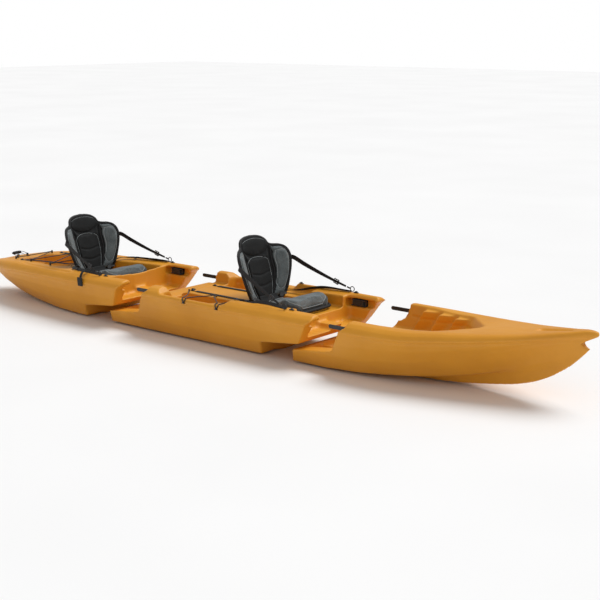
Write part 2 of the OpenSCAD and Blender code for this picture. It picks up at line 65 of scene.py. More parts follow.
# ---------------------------------------------------------------- camera, light and floor
def studio():
    azimuth, elevation = math.radians(39.69), math.radians(12.49)
    back = Vector((math.sin(azimuth) * math.cos(elevation),
                   -math.cos(azimuth) * math.cos(elevation), math.sin(elevation)))
    lens = bpy.data.cameras.new("camera")
    lens.sensor_width, lens.lens, lens.clip_end = 36, 74.75, 200
    camera = bpy.data.objects.new("camera", lens)
    camera.location = Vector((0.45, 0, 0.293)) + back * 7.084
    camera.rotation_euler = back.to_track_quat("Z", "Y").to_euler()
    scene.collection.objects.link(camera)
    scene.camera = camera

    world = bpy.data.worlds.new("studio")
    scene.world = world
    world.use_nodes = True
    sky = world.node_tree.nodes["Background"]
    sky.inputs["Color"].default_value = (1, 1, 1, 1)
    seen = world.node_tree.nodes.new("ShaderNodeBackground")
    seen.inputs["Color"].default_value = (1, 1, 1, 1)
    seen.inputs["Strength"].default_value = 1.0
    direct = world.node_tree.nodes.new("ShaderNodeLightPath")
    either = world.node_tree.nodes.new("ShaderNodeMixShader")
    wire = world.node_tree.links.new
    wire(direct.outputs["Is Camera Ray"], either.inputs[0])
    wire(sky.outputs[0], either.inputs[1])
    wire(seen.outputs[0], either.inputs[2])
    wire(either.outputs[0], world.node_tree.nodes["World Output"].inputs["Surface"])
    sky.inputs["Strength"].default_value = 0.42
    for name, energy, angle, turn in (("key", 2.3, 40, (-26, 14, 0)), ("fill", 0.25, 60, (52, 0, 40))):
        sun = bpy.data.lights.new(name, "SUN")
        sun.energy, sun.angle = energy, math.radians(angle)
        lamp = bpy.data.objects.new(name, sun)
        lamp.rotation_euler = [math.radians(a) for a in turn]
        scene.collection.objects.link(lamp)
    scene.view_settings.view_transform = "Standard"

    mesh = bpy.data.meshes.new("floor")
    reach = 40
    mesh.from_pydata([(-reach, -reach, 0), (reach, -reach, 0), (reach, reach, 0), (-reach, reach, 0)],
                     [], [(0, 1, 2, 3)])
    floor = bpy.data.objects.new("floor", mesh)
    scene.collection.objects.link(floor)
    floor.data.materials.append(FLOOR)


# ---------------------------------------------------------------- materials
class Shade:
    """A material under construction: nodes are added and wired by short calls."""

    def __init__(self, name, **base):
        self.material = bpy.data.materials.new(name)
        self.material.use_nodes = True
        self.tree = self.material.node_tree
        self.bsdf = self.tree.nodes["Principled BSDF"]
        for key, value in base.items():
            self.put(self.bsdf.inputs[key.replace("_", " ")], value)
        self.coord = self.tree.nodes.new("ShaderNodeTexCoord")
        self.height = None

    def put(self, socket, value):
        if isinstance(value, bpy.types.NodeSocket):
            self.tree.links.new(value, socket)
        else:
            socket.default_value = value

    def node(self, kind, props=(), **inputs):
        made = self.tree.nodes.new("ShaderNode" + kind)
        for key, value in dict(props).items():
            setattr(made, key, value)
        for key, value in inputs.items():
            self.put(made.inputs[int(key[1:]) if key[1:].isdigit() else key.replace("_", " ")], value)
        return made

    def place(self, space="Object", scale=(1, 1, 1), turn=(0, 0, 0)):
        return self.node("Mapping", Vector=self.coord.outputs[space], Scale=scale, Rotation=turn).outputs[0]

    def noise(self, scale, detail=3.0, where=None):
        made = self.node("TexNoise", Vector=where or self.coord.outputs["Object"], Scale=scale, Detail=detail)
        return made.outputs["Fac"]

    def wave(self, scale, where, along="X"):
        props = {"wave_type": "BANDS", "bands_direction": along, "wave_profile": "SIN"}
        return self.node("TexWave", props, Vector=where, Scale=scale).outputs["Fac"]

    def ramp(self, factor, stops):
        made = self.node("ValToRGB", Fac=factor)
        line = made.color_ramp.elements
        while len(line) < len(stops):
            line.new(0.5)
        for element, (at, colour) in zip(line, stops):
            element.position = at
            element.color = (*colour, 1) if len(colour) == 3 else colour
        return made.outputs["Color"]

    def level(self, factor, low, high):
        made = self.node("MapRange", Value=factor)
        made.inputs["To Min"].default_value, made.inputs["To Max"].default_value = low, high
        return made.outputs[0]

    def math(self, what, a, b):
        return self.node("Math", {"operation": what}, _0=a, _1=b).outputs[0]

    def mix(self, factor, a, b, blend="MIX"):
        made = self.node("MixRGB", {"blend_type": blend}, Fac=factor, Color1=a, Color2=b)
        return made.outputs[0]

    def bump(self, height, strength, distance):
        inputs = {"Height": height, "Strength": strength, "Distance": distance}
        if self.height is not None:
            inputs["Normal"] = self.height
        self.height = self.node("Bump", **inputs).outputs[0]
        self.put(self.bsdf.inputs["Normal"], self.height)

    def set(self, socket, value):
        self.put(self.bsdf.inputs[socket], value)


def painted_edge_highlight(shade, colour, highlight_colour, low=0.52, high=0.60):
    """Painted highlight: lighter colour along the outer edges, from the curvature of the surface, broken up
    by noise.
    """
    point = shade.node("NewGeometry").outputs["Pointiness"]
    edges = shade.node("MapRange", Value=point)
    edges.inputs["From Min"].default_value, edges.inputs["From Max"].default_value = low, high
    amount = shade.math("MULTIPLY", edges.outputs[0], shade.level(shade.noise(35), 0.1, 0.9))
    return shade.mix(amount, colour, highlight_colour)


def hull_plastic():
    shade = Shade("rotomoulded_hull", Specular_IOR_Level=0.42)
    broad = shade.ramp(shade.noise(2.6, 4), [(0.32, (0.655, 0.268, 0.014)), (0.55, (0.725, 0.308, 0.018)),
                                              (0.72, (0.760, 0.335, 0.026))])
    speck = shade.ramp(shade.noise(420, 2), [(0.30, (0.88, 0.88, 0.88)), (0.60, (1, 1, 1))])
    colour = shade.mix(0.35, broad, speck, "MULTIPLY")
    # the lighter colour on the hull's outer edges is a painted highlight
    shade.set("Base Color", painted_edge_highlight(shade, colour, (0.80, 0.40, 0.07, 1)))
    scuffs = shade.noise(9, 6, shade.place(scale=(1, 7, 5)))
    shade.set("Roughness", shade.level(scuffs, 0.34, 0.56))
    shade.bump(shade.noise(230, 3), 0.16, 0.0010)
    shade.bump(shade.noise(14, 2), 0.12, 0.006)
    return shade.material


def black_plastic():
    shade = Shade("moulded_black_plastic", Specular_IOR_Level=0.5)
    colour = shade.ramp(shade.noise(60), [(0.35, (0.006, 0.006, 0.0065)), (0.7, (0.014, 0.014, 0.015))])
    # the lighter colour on the black plastic's outer edges is a painted highlight
    shade.set("Base Color", painted_edge_highlight(shade, colour, (0.045, 0.045, 0.048, 1), 0.51, 0.57))
    shade.set("Roughness", shade.level(shade.noise(90, 5), 0.34, 0.55))
    shade.bump(shade.noise(1300, 2), 0.18, 0.0004)
    return shade.material


def steel():
    shade = Shade("brushed_steel", Metallic=1.0)
    brushed = shade.noise(60, 4, shade.place(scale=(1, 22, 1)))
    shade.set("Base Color", shade.ramp(brushed, [(0.3, (0.46, 0.46, 0.47)), (0.7, (0.62, 0.62, 0.63))]))
    shade.set("Roughness", shade.level(brushed, 0.22, 0.38))
    shade.bump(brushed, 0.10, 0.0003)
    return shade.material


def fabric(name, dark, light, thread=950, sheen=0.25, heather=0.5):
    """Plain-woven nylon: over-and-under threads along both directions, with a heathered colour."""
    shade = Shade(name, Sheen_Weight=sheen, Sheen_Roughness=0.45, Specular_IOR_Level=0.28)
    warp = shade.wave(thread, shade.place(), "Y")
    weft = shade.wave(thread, shade.place(), "Z")
    weave = shade.math("MAXIMUM", warp, weft)
    melange = shade.noise(330, 4, shade.place(scale=(1, 1, 0.25)))
    wide = shade.noise(16, 3)
    base = shade.ramp(shade.mix(heather, wide, melange), [(0.36, dark), (0.64, light)])
    shade.set("Base Color", shade.mix(0.45, base, shade.ramp(weave, [(0.2, (0.45,) * 3), (0.9, (1,) * 3)]),
                                      "MULTIPLY"))
    shade.set("Roughness", shade.level(melange, 0.72, 0.92))
    shade.bump(weave, 0.35, 0.0005)
    shade.bump(shade.noise(45, 3), 0.25, 0.0012)
    return shade.material


def webbing(name, dark=(0.004, 0.004, 0.0045), light=(0.018, 0.018, 0.020)):
    """Ribbed polyester webbing; u runs along the strap in metres and v across it."""
    shade = Shade(name, Sheen_Weight=0.04, Specular_IOR_Level=0.35)
    ribs = shade.wave(0.5, shade.place("UV", (1000, 1, 1)), "X")
    threads = shade.wave(0.32, shade.place("UV", (1, 1000, 1)), "Y")
    cross = shade.math("MULTIPLY", ribs, threads)
    tone = shade.mix(0.35, cross, shade.noise(240, 3))
    shade.set("Base Color", shade.ramp(tone, [(0.2, dark), (0.8, light)]))
    shade.set("Roughness", shade.level(shade.noise(150), 0.5, 0.75))
    shade.bump(cross, 0.5, 0.0006)
    return shade.material


def cord_sheath():
    """Braided sheath: two sets of strands that wind round the cord against each other."""
    shade = Shade("braided_cord_sheath", Sheen_Weight=0.2)
    one = shade.wave(0.35, shade.place("UV", (900, 2600, 1), (0, 0, 0.75)), "X")
    two = shade.wave(0.35, shade.place("UV", (900, 2600, 1), (0, 0, -0.75)), "X")
    braid = shade.math("MAXIMUM", one, two)
    shade.set("Base Color", shade.ramp(braid, [(0.3, (0.004, 0.004, 0.0045)), (0.9, (0.022, 0.022, 0.024))]))
    shade.set("Roughness", shade.level(shade.noise(200), 0.5, 0.72))
    shade.bump(braid, 0.5, 0.0006)
    return shade.material


def rubber(name, colour, light):
    shade = Shade(name, Specular_IOR_Level=0.35)
    shade.set("Base Color", shade.ramp(shade.noise(80, 4), [(0.35, colour), (0.7, light)]))
    shade.set("Roughness", shade.level(shade.noise(140, 4), 0.55, 0.8))
    shade.bump(shade.noise(900, 2), 0.3, 0.0005)
    return shade.material


def floor_paint():
    shade = Shade("studio_floor", Roughness=0.9)
    paint = [(0.3, (0.86, 0.86, 0.86)), (0.7, (0.89, 0.89, 0.89))]
    shade.set("Base Color", shade.ramp(shade.noise(0.6, 2), paint))
    return shade.material


HULL, BLACK, STEEL, FLOOR = hull_plastic(), black_plastic(), steel(), floor_paint()
GREY_CLOTH = fabric("grey_seat_fabric", (0.078, 0.094, 0.098), (0.158, 0.184, 0.190))
DIM_CLOTH = fabric("dark_grey_seat_fabric", (0.036, 0.044, 0.047), (0.078, 0.093, 0.097))
BLACK_CLOTH = fabric("black_seat_fabric", (0.0035, 0.0042, 0.0045), (0.010, 0.0115, 0.012), sheen=0.05)
LIGHT_TRIM = fabric("light_piping", (0.20, 0.225, 0.23), (0.34, 0.37, 0.38), 1500, 0.1)
BINDING = webbing("seam_binding", (0.003, 0.003, 0.0035), (0.009, 0.009, 0.010))
WEBBING, SHEATH = webbing("strap_webbing"), cord_sheath()
PLUG = rubber("plug_rubber", (0.012, 0.012, 0.012), (0.03, 0.03, 0.031))
GRIP = rubber("grip_rubber", (0.010, 0.010, 0.011), (0.022, 0.022, 0.023))


# ---------------------------------------------------------------- mesh helpers
def piece(name, vertices, faces, material, body=None):
    mesh = bpy.data.meshes.new(name)
    mesh.from_pydata([tuple(map(float, v)) for v in vertices], [], faces)
    return dress(bpy.data.objects.new(name, mesh), material, body)


def dress(obj, material, body=None):
    """Links a new object, gives it its material and body, and makes its normals point out."""
    scene.collection.objects.link(obj)
    outward(obj)
    obj.data.materials.clear()
    obj.data.materials.append(material)
    obj.data.polygons.foreach_set("use_smooth", [True] * len(obj.data.polygons))
    if body:
        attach(obj, body)
    return obj


def outward(obj):
    made = bmesh.new()
    made.from_mesh(obj.data)
    bmesh.ops.recalc_face_normals(made, faces=made.faces)
    made.to_mesh(obj.data)
    made.free()


def points(obj):
    out = np.empty(len(obj.data.vertices) * 3)
    obj.data.vertices.foreach_get("co", out)
    return out.reshape(-1, 3)


def normals(obj):
    out = np.empty(len(obj.data.vertices) * 3)
    obj.data.vertex_normals.foreach_get("vector", out)
    return out.reshape(-1, 3)


def move_to(obj, where):
    obj.data.vertices.foreach_set("co", np.ascontiguousarray(where, float).ravel())
    obj.data.update()


def settle(obj):
    """Replaces an object's mesh with what its modifiers make of it."""
    graph = bpy.context.evaluated_depsgraph_get()
    obj.data = bpy.data.meshes.new_from_object(obj.evaluated_get(graph))
    obj.modifiers.clear()


def curve(route, step):
    """A smooth line of evenly spaced points through the route (centripetal Catmull-Rom)."""
    route = [Vector(p) for p in route]
    ends = [2 * route[0] - route[1], *route, 2 * route[-1] - route[-2]]
    out = []
    for a, b, c, d in zip(ends, ends[1:], ends[2:], ends[3:]):
        t1 = max((b - a).length, 1e-6) ** 0.5
        t2 = t1 + max((c - b).length, 1e-6) ** 0.5
        t3 = t2 + max((d - c).length, 1e-6) ** 0.5
        count = max(2, int((c - b).length / step))
        for k in range(count):
            t = t1 + (t2 - t1) * k / count
            p = a + (b - a) * (t / t1)
            q = b + (c - b) * ((t - t1) / (t2 - t1))
            r = c + (d - c) * ((t - t2) / (t3 - t2))
            s, u = p + (q - p) * (t / t2), q + (r - q) * ((t - t1) / (t3 - t1))
            out.append(s + (u - s) * ((t - t1) / (t2 - t1)))
    return out + [route[-1]]


def sweep(name, path, sections, ups, material, body=None, closed=False):
    """Sweeps a closed section along a path: sections are lists of (across, up) offsets, one per point."""
    path, count = [Vector(p) for p in path], len(sections[0])
    vertices, faces, runs, length = [], [], [], 0.0
    for i, p in enumerate(path):
        before = path[i - 1] if (i or closed) else p
        after = path[(i + 1) % len(path)] if (i + 1 < len(path) or closed) else p
        ahead = (after - before).normalized()
        across = ahead.cross(Vector(ups[i])).normalized()
        up = across.cross(ahead).normalized()
        vertices += [p + across * a + up * b for a, b in sections[i]]
        length += (p - path[i - 1]).length if i else 0.0
        runs.append(length)
    rows = len(path) if closed else len(path) - 1
    for i in range(rows):
        a, b = i * count, (i + 1) % len(path) * count
        faces += [(a + k, a + (k + 1) % count, b + (k + 1) % count, b + k) for k in range(count)]
    if not closed:
        faces += [tuple(range(count))[::-1], tuple(range(len(vertices) - count, len(vertices)))]
    obj = piece(name, vertices, faces, material, body)
    layer = obj.data.uv_layers.new(name="run")
    around = [0.0]
    for k in range(count):
        a, b = sections[0][k], sections[0][(k + 1) % count]
        around.append(around[-1] + math.hypot(a[0] - b[0], a[1] - b[1]))
    for face in obj.data.polygons:
        ring = [obj.data.loops[i].vertex_index % count for i in face.loop_indices]
        for i in face.loop_indices:
            v = obj.data.loops[i].vertex_index
            k = v % count
            wrapped = k == 0 and max(ring) == count - 1
            layer.data[i].uv = (runs[v // count], around[count if wrapped else k])
    return obj


def tube(name, route, radius, material, body=None, closed=False, step=0.006, sides=12):
    """A round cord along a route; its frame turns as little as it can from point to point."""
    path = curve([*route, route[0]], step)[:-1] if closed else curve(route, step)
    ups, up = [], Vector((0.13, 0.21, 0.97)).normalized()
    for i in range(len(path)):
        ahead = (path[min(i + 1, len(path) - 1)] - path[max(i - 1, 0)]).normalized()
        up = (up - ahead * up.dot(ahead)).normalized()
        ups.append(up)
    turns = np.linspace(0, math.tau, sides, endpoint=False)
    ring = [(radius * math.cos(a), radius * math.sin(a)) for a in turns]
    return sweep(name, path, [ring] * len(path), ups, material, body, closed)


def flat_section(width, thick, n=5):
    """Section of a woven strap: flat faces, rounded selvedges that stand a little thicker."""
    half, t = width / 2, thick / 2
    top = [(-half, 0.45 * t), (-half + 0.6 * t, 1.12 * t), (-half + 3 * t, 1.0 * t)]
    top += [(half * (2 * k / n - 1) * 0.6, 0.94 * t) for k in range(1, n)]
    top += [(half - 3 * t, 1.0 * t), (half - 0.6 * t, 1.12 * t), (half, 0.45 * t)]
    return top + [(a, -b) for a, b in reversed(top)]


def strap(name, route, width, ups, body=None, thick=0.0022, material=WEBBING, step=0.008):
    """Webbing along a route. width and ups may be one value or one for each point of the route."""
    path = curve(route, step)
    at = np.cumsum([0] + [(b - a).length for a, b in zip(path, path[1:])])
    marks = [at[min(range(len(path)), key=lambda i: (path[i] - Vector(p)).length)] for p in route]
    widths = width if isinstance(width, (list, tuple)) else [width] * len(route)
    ups = ups if isinstance(ups[0], (list, tuple, Vector)) else [ups] * len(route)
    sections = [flat_section(np.interp(a, marks, widths), thick) for a in at]
    tilt = [Vector([np.interp(a, marks, [Vector(u)[k] for u in ups]) for k in range(3)]) for a in at]
    return sweep(name, path, sections, tilt, material, body)


def merge(name, parts):
    """Joins meshes into one piece that keeps the first one's body."""
    with bpy.context.temp_override(active_object=parts[0], selected_editable_objects=parts,
                                   selected_objects=parts, object=parts[0]):
        bpy.ops.object.join()
    parts[0].name = name
    return parts[0]


def rounded_block(name, centre, size, axes, bevel, material, body=None):
    """A moulded block with rounded edges; axes are its own x, y and z directions."""
    made = bmesh.new()
    bmesh.ops.create_cube(made, size=1)
    for v in made.verts:
        v.co = Vector([v.co[k] * size[k] for k in range(3)])
    bmesh.ops.bevel(made, geom=made.edges[:], offset=bevel, segments=3, profile=0.5, affect="EDGES")
    axes = [Vector(a).normalized() for a in axes]
    for v in made.verts:
        v.co = Vector(centre) + axes[0] * v.co.x + axes[1] * v.co.y + axes[2] * v.co.z
    mesh = bpy.data.meshes.new(name)
    made.to_mesh(mesh)
    made.free()
    return dress(bpy.data.objects.new(name, mesh), material, body)


def buckle(name, centre, along, up, width, length, body):
    """Ladder-lock adjuster: an oblong frame with two cross bars."""
    along, up = Vector(along).normalized(), Vector(up).normalized()
    across = along.cross(up).normalized()
    up = across.cross(along).normalized()
    centre, bar = Vector(centre), 0.0034
    corners = [(-1, -1), (-1, 0), (-1, 1), (0, 1), (1, 1), (1, 0), (1, -1), (0, -1)]
    frame_line = [centre + along * (a * length / 2) + across * (b * width / 2) for a, b in corners]
    parts = [tube(name, frame_line, bar * 0.8, BLACK, closed=True, step=0.003, sides=10)]
    for k, shift in enumerate((-0.12, 0.3)):
        mid = centre + along * (length * shift)
        parts.append(rounded_block(f"{name}_{k}", mid, (bar * 1.6, width, bar * 1.3), (along, across, up),
                                   0.001, BLACK))
    whole = merge(name, parts)
    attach(whole, body)
    return whole


# ---------------------------------------------------------------- hull skins
def drop(route, spots):
    """Distance from each spot to a polyline, both in the same two coordinates."""
    best = np.full(len(spots), 9.0)
    for a, b in zip(route, route[1:]):
        a, b = np.array(a, float), np.array(b, float)
        k = np.clip((spots - a) @ (b - a) / max((b - a) @ (b - a), 1e-12), 0, 1)
        best = np.minimum(best, np.linalg.norm(spots - (a + k[:, None] * (b - a)), axis=1))
    return best


def fine(route, step=0.01):
    return [tuple(p)[:2] for p in curve([(*p, 0) for p in route], step)]


def carve(obj, route, half, depth, plane=(0, 1), facing=(0, 0, 1), least=0.4, low=-9.0, high=9.0):
    """Presses a rounded groove (depth above 0) or raises a rib (below 0) along a route on the surface."""
    where, out = points(obj), normals(obj)
    mask = (out @ np.array(facing, float) > least) & (where[:, 2] > low) & (where[:, 2] < high)
    away = drop(fine(route), where[:, list(plane)])
    amount = depth * np.clip(1 - (away / half) ** 2, 0, 1) ** 1.5 * mask
    move_to(obj, where - out * amount[:, None])


def skin(node):
    """The hull's moulded surface: the CAD solid with every edge rounded as rotomoulding leaves it."""
    mesh = NODES[node].data.copy()
    obj = bpy.data.objects.new(node + "_skin", mesh)
    scene.collection.objects.link(obj)
    obj.modifiers.new("remesh", "REMESH").mode = "VOXEL"
    obj.modifiers["remesh"].voxel_size = HULL_VOXEL
    soften = obj.modifiers.new("soften", "SMOOTH")
    soften.factor, soften.iterations = 0.5, 5
    settle(obj)
    scene.collection.objects.unlink(obj)
    dress(obj, HULL, None)
    return obj


MID, STERN, BOW = skin("mid_hull"), skin("stern_hull"), skin("bow_hull")


def both(route):
    return route, [(x, -y) for x, y in route]


def hull_detail():
    """Moulded lines on the decks, floors and walls."""
    panel = [(-1.74, 0.235), (-1.66, 0.268), (-1.50, 0.288), (-1.34, 0.304), (-1.20, 0.310)]
    for line in both(panel):
        carve(STERN, line, 0.016, 0.007, least=0.2)
    for shift, hull in ((0.0, MID), (-1.5, STERN)):
        for reach in (0.0, 0.055):
            arch = [(0.62 + shift, 0.17 - reach), (0.70 + shift, 0.165 - reach), (0.76 + shift, 0.12 - reach),
                    (0.765 + shift, 0.05)]
            for line in both(arch):
                carve(hull, line, 0.011, 0.004, high=0.215)
    for row in range(3):
        x = -0.360 - 0.030 * row
        wavy = [(x + 0.006 * math.sin(9 * y), y) for y in np.linspace(-0.22, 0.22, 15)]
        carve(MID, wavy, 0.010, -0.004)
    for side in (1, -1):
        for x in (-0.27, -0.18, -0.09, 0.0):
            carve(MID, [(x, side * 0.165), (x, side * 0.31)], 0.010, 0.0035, high=0.20)
        for k in range(6):
            x = 0.86 + 0.09 * k
            carve(BOW, [(x, side * 0.02), (x + 0.02, side * 0.22)], 0.010, 0.003, high=0.21)


def gunwale_line():
    """A shallow line under the rounded gunwale, all along each side."""
    runs = ((STERN, [(-2.20, 0.181), (-2.00, 0.202), (-1.75, 0.222), (-1.40, 0.235), (-0.92, 0.239)]),
            (MID, [(-0.64, 0.241), (0.0, 0.243), (0.78, 0.244)]),
            (BOW, [(1.06, 0.245), (1.30, 0.249), (1.60, 0.272), (1.90, 0.307), (2.15, 0.345), (2.24, 0.356)]))
    for hull, line in runs:
        for sign in (1, -1):
            carve(hull, line, 0.011, 0.0035, (0, 2), (0, sign, 0), 0.45)


hull_detail()
gunwale_line()
for hull, body, node in ((MID, "mid_section", "mid_hull"), (STERN, "stern_section", "stern_hull"),
                         (BOW, "bow_section", "bow_hull")):
    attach(hull, body)
    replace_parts(hull, node)


# ---------------------------------------------------------------- seats
OUTLINE = [(0.1325, 0.004), (0.150, 0.024), (0.165, 0.050), (0.178, 0.080), (0.196, 0.130), (0.208, 0.168),
           (0.217, 0.212), (0.2175, 0.240), (0.211, 0.268), (0.196, 0.291), (0.172, 0.306), (0.140, 0.315),
           (0.118, 0.327), (0.108, 0.350), (0.088, 0.370), (0.056, 0.382), (0.000, 0.388)]
SEAM = [(0.066, 0.012), (0.090, 0.070), (0.104, 0.120), (0.1125, 0.170), (0.111, 0.235), (0.117, 0.290),
        (0.119, 0.312)]
HEAD_ARC = [(0.116, 0.314), (0.090, 0.291), (0.048, 0.275), (0.0, 0.269)]


def smooth2(route, step=0.006):
    return [(p.x, p.y) for p in curve([(*p, 0) for p in route], step)]


def mirrored(half):
    """Closed outline from its right half, which runs from the bottom to the middle of the top."""
    return half + [(-a, b) for a, b in reversed(half) if a > 1e-6]


def inset(line, amount):
    """A closed outline moved inwards."""
    line = [np.array(p) for p in line]
    area = sum(a[0] * b[1] - a[1] * b[0] for a, b in zip(line, line[1:] + line[:1]))
    out = []
    for i, p in enumerate(line):
        run = line[(i + 1) % len(line)] - line[i - 1]
        side = np.array([-run[1], run[0]]) / max(np.linalg.norm(run), 1e-9) * (1 if area > 0 else -1)
        out.append(tuple(p + side * amount))
    return out


def slab(name, outline, back, front, rounds=3):
    """A closed slab in the seat back's own frame: x forward, y across, z up, remeshed and rounded."""
    n = len(outline)
    vertices = [(back, a, b) for a, b in outline] + [(front, a, b) for a, b in outline]
    faces = [tuple(range(n)), tuple(range(2 * n - 1, n - 1, -1))]
    faces += [(i, (i + 1) % n, n + (i + 1) % n, n + i) for i in range(n)]
    obj = piece(name, vertices, faces, BLACK_CLOTH)
    obj.modifiers.new("remesh", "REMESH").mode = "VOXEL"
    obj.modifiers["remesh"].voxel_size = PAD_VOXEL
    soften = obj.modifiers.new("soften", "SMOOTH")
    soften.factor, soften.iterations = 0.5, rounds
    settle(obj)
    return obj


def puff(obj, cap, pressure=4.0, frames=20):
    """Swells a closed pad as cloth under pressure; no point goes further than cap."""
    start = points(obj)
    cloth = obj.modifiers.new("cloth", "CLOTH")
    cloth.settings.use_pressure = True
    cloth.settings.uniform_pressure_force = pressure
    cloth.settings.effector_weights.gravity = 0
    cloth.settings.quality = 4
    cloth.collision_settings.use_collision = False
    for step in range(1, frames + 1):
        scene.frame_set(step)
    settle(obj)
    go = points(obj) - start
    far = np.linalg.norm(go, axis=1, keepdims=True)
    move_to(obj, start + go * np.minimum(1, cap / np.maximum(far, 1e-9)))
    scene.frame_set(1)
    fine_mesh = obj.modifiers.new("finer", "SUBSURF")
    fine_mesh.levels = fine_mesh.render_levels = 1
    settle(obj)
    return obj


def seam(obj, line, half, depth, axes=(1, 2), facing=(1, 0, 0)):
    """Presses a stitched channel (or raises one, below 0) into the face of a pad along a line."""
    where, out = points(obj), normals(obj)
    away = drop(line, where[:, list(axes)])
    mask = out @ np.array(facing, float) > 0.15
    amount = depth * np.exp(-((away / half) ** 2)) * mask
    move_to(obj, where - np.array(facing, float) * amount[:, None])


def lean(spots):
    """From the seat back's own frame, flat, to its place: bent round the sitter, then reclined."""
    spots = np.asarray(spots, float)
    side = np.abs(spots[:, 1]) - WING_FROM
    f = spots[:, 0] + BACK_SET + WING_SLOPE * 0.5 * (side + np.sqrt(side ** 2 + WING_BLEND ** 2))
    c, s = math.cos(RECLINE), math.sin(RECLINE)
    return np.stack([HINGE.x + f * c - spots[:, 2] * s, spots[:, 1],
                     HINGE.z + f * s + spots[:, 2] * c], axis=1)


def front_height(pads, spot, fallback=0.0, facing=(1, 0, 0), axes=(1, 2)):
    """How far forward the cushions stand at a spot of their own plane."""
    toward = Vector(facing)
    start = toward * 0.5
    for value, axis in zip(spot, axes):
        start[axis] = value
    best = None
    for tree in pads:
        hit = tree.ray_cast(start, -toward)[0]
        if hit is not None and (best is None or hit.dot(toward) > best):
            best = hit.dot(toward)
    return fallback if best is None else best


def tree_of(obj):
    mesh = obj.data
    return BVHTree.FromPolygons([v.co for v in mesh.vertices], [tuple(p.vertices) for p in mesh.polygons])


def seat_back():
    """One seat back in place at the front seat; returns its pieces by name."""
    rim = mirrored(smooth2(OUTLINE))
    made = {}
    shell = slab("shell", inset(rim, 0.004), -0.036, -0.012, 4)
    made["back_shell"] = (shell, BLACK_CLOTH, "seat_fabric_black", False)

    seam_line, arc = smooth2(SEAM), smooth2(HEAD_ARC)
    centre = mirrored([(a - 0.003, b) for a, b in seam_line if b < 0.300]
                      + [(a * 0.96, b - 0.004) for a, b in arc])
    made["back_centre"] = (puff(slab("centre", centre, -0.020, -0.010), 0.009), BLACK_CLOTH,
                           "seat_fabric_black", True)
    top = [p for p in smooth2(OUTLINE) if p[1] > 0.322 and p[0] < 0.125]
    head_half = [(a, b + 0.002) for a, b in reversed(arc)] + [(a - 0.006, b - 0.005) for a, b in top[:-1]]
    head_half += [(0.0, 0.381)]
    head = [(a, b) for a, b in head_half] + [(-a, b) for a, b in reversed(head_half[1:-1])]
    made["back_head"] = (puff(slab("head", head, -0.020, -0.006), 0.010), BLACK_CLOTH,
                         "seat_fabric_black", True)
    outer = [p for p in smooth2(OUTLINE) if p[0] > 0.118 and p[1] < 0.325]
    wing = inset(outer + [(a + 0.004, b) for a, b in reversed(seam_line)], 0.006)
    for side, sign in SIDES.items():
        obj = puff(slab("wing", [(a * sign, b) for a, b in wing], -0.020, -0.009), 0.009)
        made[f"back_wing_{side}"] = (obj, GREY_CLOTH, "seat_fabric_grey", True)
    oval = [(0.140, 0.275), (0.186, 0.272), (0.202, 0.240), (0.196, 0.180), (0.172, 0.105), (0.146, 0.060),
            (0.118, 0.050), (0.106, 0.075), (0.121, 0.130), (0.130, 0.180), (0.129, 0.235)]
    oval = [(p.x, p.y) for p in curve([(*p, 0) for p in [*oval, oval[0]]], 0.006)]
    for side, sign in SIDES.items():
        line = [(a * sign, b) for a, b in oval]
        seam(made[f"back_wing_{side}"][0], line, 0.006, 0.005)
    arch = [(-0.060, 0.02), (-0.084, 0.10), (-0.090, 0.18), (-0.086, 0.235), (-0.050, 0.256), (0.0, 0.262),
            (0.050, 0.256), (0.086, 0.235), (0.090, 0.18), (0.084, 0.10), (0.060, 0.02)]
    seam(made["back_centre"][0], smooth2(arch), 0.005, 0.004)
    for row in (0.10, 0.165):
        seam(made["back_centre"][0], smooth2([(-0.07, row), (0.0, row - 0.012), (0.07, row)]), 0.007, 0.004)
    crest = [(-0.092, 0.352), (-0.060, 0.364), (0.0, 0.371), (0.060, 0.364), (0.092, 0.352)]
    seam(made["back_head"][0], smooth2(crest), 0.004, 0.003)

    trees = [tree_of(made[k][0]) for k in made]
    def lay(line, lift, fallback):
        return [(front_height(trees, p, fallback) + lift, p[0], p[1]) for p in line]
    trims = {}
    for side, sign in SIDES.items():
        piping = lay([(a * sign, b) for a, b in oval[::2]], 0.0008, -0.01)
        joint = lay([(a * sign + 0.0005 * sign, b) for a, b in seam_line[::3]], 0.0012, -0.014)
        trims[f"back_piping_{side}"] = (piping, 0.0022, True, LIGHT_TRIM, "seat_fabric_grey")
        trims[f"back_seam_{side}"] = (joint, 0.0042, False, BINDING, "seat_fabric_black")
    for key, line, radius in (("back_stitch", arch, 0.0012), ("head_stitch", crest, 0.0010)):
        trims[key] = (lay(smooth2(line)[::3], 0.0004, -0.01), radius, False, LIGHT_TRIM, "seat_fabric_grey")
    edge = [(-0.022, a, b) for a, b in inset(rim, 0.003)[::2]]
    trims["back_binding"] = (edge, 0.0100, True, BINDING, "seat_fabric_black")
    for key, (line, radius, closed, cloth, slot) in trims.items():
        made[key] = (tube(key, line, radius, cloth, closed=closed, sides=10), cloth, slot, False)
    for obj, *_ in made.values():
        move_to(obj, lean(points(obj)))
    return made


PAD_RIM = [(0.256, 0.0), (0.258, 0.070), (0.272, 0.100), (0.310, 0.116), (0.370, 0.140), (0.425, 0.170),
           (0.470, 0.182), (0.518, 0.176), (0.548, 0.150), (0.558, 0.100), (0.559, 0.0)]
PAD_SEAM = [(0.268, 0.0), (0.270, 0.060), (0.290, 0.082), (0.345, 0.090), (0.400, 0.092), (0.440, 0.108),
            (0.468, 0.140), (0.505, 0.148), (0.533, 0.128), (0.544, 0.080), (0.546, 0.0)]


def pad_slab(name, outline, low, high):
    """A slab lying in the seat pad's plane, remeshed."""
    obj = slab(name, outline, low, high)
    where = points(obj)
    move_to(obj, where[:, [1, 2, 0]])
    outward(obj)
    return obj


